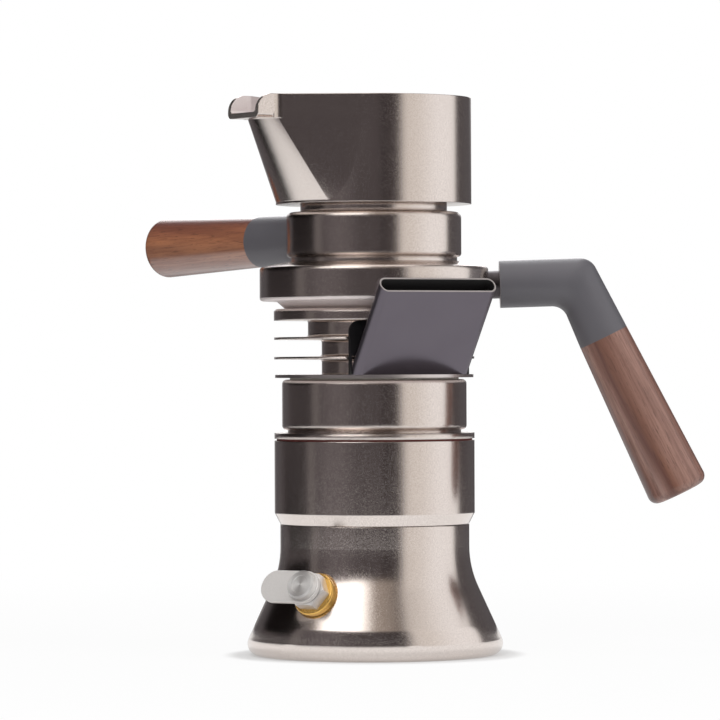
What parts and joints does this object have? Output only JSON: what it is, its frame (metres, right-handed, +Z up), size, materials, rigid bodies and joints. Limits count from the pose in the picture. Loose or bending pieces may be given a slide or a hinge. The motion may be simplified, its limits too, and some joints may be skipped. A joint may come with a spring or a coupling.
{
  "type": "stovetop espresso maker",
  "caption": "Stovetop espresso maker with a flared lower boiler, an upper boiler with a heat-exchange coil, a finned heat sink, a screwed group and a pouring jug.",
  "frame": {"origin": "centre of the foot, on the surface that it stands on", "axes": "+Z up along the boilers' common axis, +X along the right handle"},
  "size_m": [0.2555, 0.175, 0.25],
  "materials": {
    "cast_metal": "fine bead-blasted, warm satin",
    "polished_metal": "turned and polished",
    "brass": "turned",
    "steel": "drawn",
    "spring_steel": "drawn wire",
    "black_sheet": "matt black",
    "grey_sheet": "matt dark grey",
    "ferrule": "matt dark grey",
    "right_wood": "oiled",
    "left_wood": "oiled",
    "red_rubber": "dark red",
    "white_rubber": "off-white silicone"
  },
  "bodies": {
    "base": {"lower_boiler": "cast_metal", "relief_valve_bush": "brass", "relief_valve_body": "polished_metal"},
    "relief": {"relief_valve_plunger": "steel", "relief_valve_seal": "white_rubber", "relief_valve_spring": "spring_steel", "relief_valve_tab": "polished_metal", "relief_valve_cap": "polished_metal"},
    "gasket": {"boiler_gasket": "white_rubber"},
    "machine": {"upper_boiler": "cast_metal", "pickup_tube": "steel", "inlet_filter": "steel", "pressure_valve_body": "brass", "pressure_valve_nut": "brass", "pressure_valve_cap": "brass", "heat_exchange_coil": "steel", "lid_seal": "red_rubber", "boiler_dome": "cast_metal", "plate_seal": "white_rubber", "chimney_plate": "black_sheet", "chimney_shield": "black_sheet", "chimney": "grey_sheet", "heat_sink": "cast_metal", "stack_screws": "steel", "group_collar": "cast_metal", "group_screen": "steel", "group_gasket": "white_rubber", "right_handle_neck": "steel", "right_handle_elbow": "ferrule", "right_handle_grip": "right_wood", "right_handle_stud": "steel"},
    "piston": {"pressure_valve_piston": "steel", "pressure_valve_spring": "spring_steel"},
    "basket": {"coffee_basket": "steel"},
    "top_gasket": {"head_gasket": "white_rubber"},
    "head": {"head_ring": "cast_metal", "head_screen": "steel", "stem_seal": "white_rubber", "jug": "cast_metal", "outlet_stem": "polished_metal", "stem_cap": "polished_metal", "left_handle_ferrule": "ferrule", "left_handle_grip": "left_wood", "left_handle_stud": "steel"}
  },
  "joints": [
    {"name": "relief_lift", "type": "slide", "parent": "base", "child": "relief", "axis": [-0.5009, -0.7597, 0.4147], "range_m": [0, 0.0015], "stiffness_N_per_m": 3000, "springref_m": -0.003},
    {"name": "boiler_rise", "type": "slide", "parent": "base", "child": "gasket", "axis": [0, 0, 1], "range_m": [0, 0.0121]},
    {"name": "boiler_turn", "type": "hinge", "parent": "gasket", "child": "machine", "pos_m": [0, 0, 0.07], "axis": [0, 0, 1], "range_deg": [0, 1080]},
    {"name": "pressure_lift", "type": "slide", "parent": "machine", "child": "piston", "axis": [0, 0, 1], "range_m": [0, 0.0025], "stiffness_N_per_m": 1500, "springref_m": -0.004, "deforming": ["pressure_valve_spring"]},
    {"name": "basket_lift", "type": "slide", "parent": "machine", "child": "basket", "axis": [0, 0, 1], "range_m": [0, 0.03]},
    {"name": "head_rise", "type": "slide", "parent": "basket", "child": "top_gasket", "axis": [0, 0, 1], "range_m": [0, 0.0121]},
    {"name": "head_turn", "type": "hinge", "parent": "top_gasket", "child": "head", "pos_m": [0, 0, 0.188], "axis": [0, 0, 1], "range_deg": [0, 720]}
  ],
  "couplings": [
    {"joint": "boiler_rise", "follows": "boiler_turn", "m_per_rad": 0.00063662},
    {"joint": "head_rise", "follows": "head_turn", "m_per_rad": 0.00095493}
  ]
}
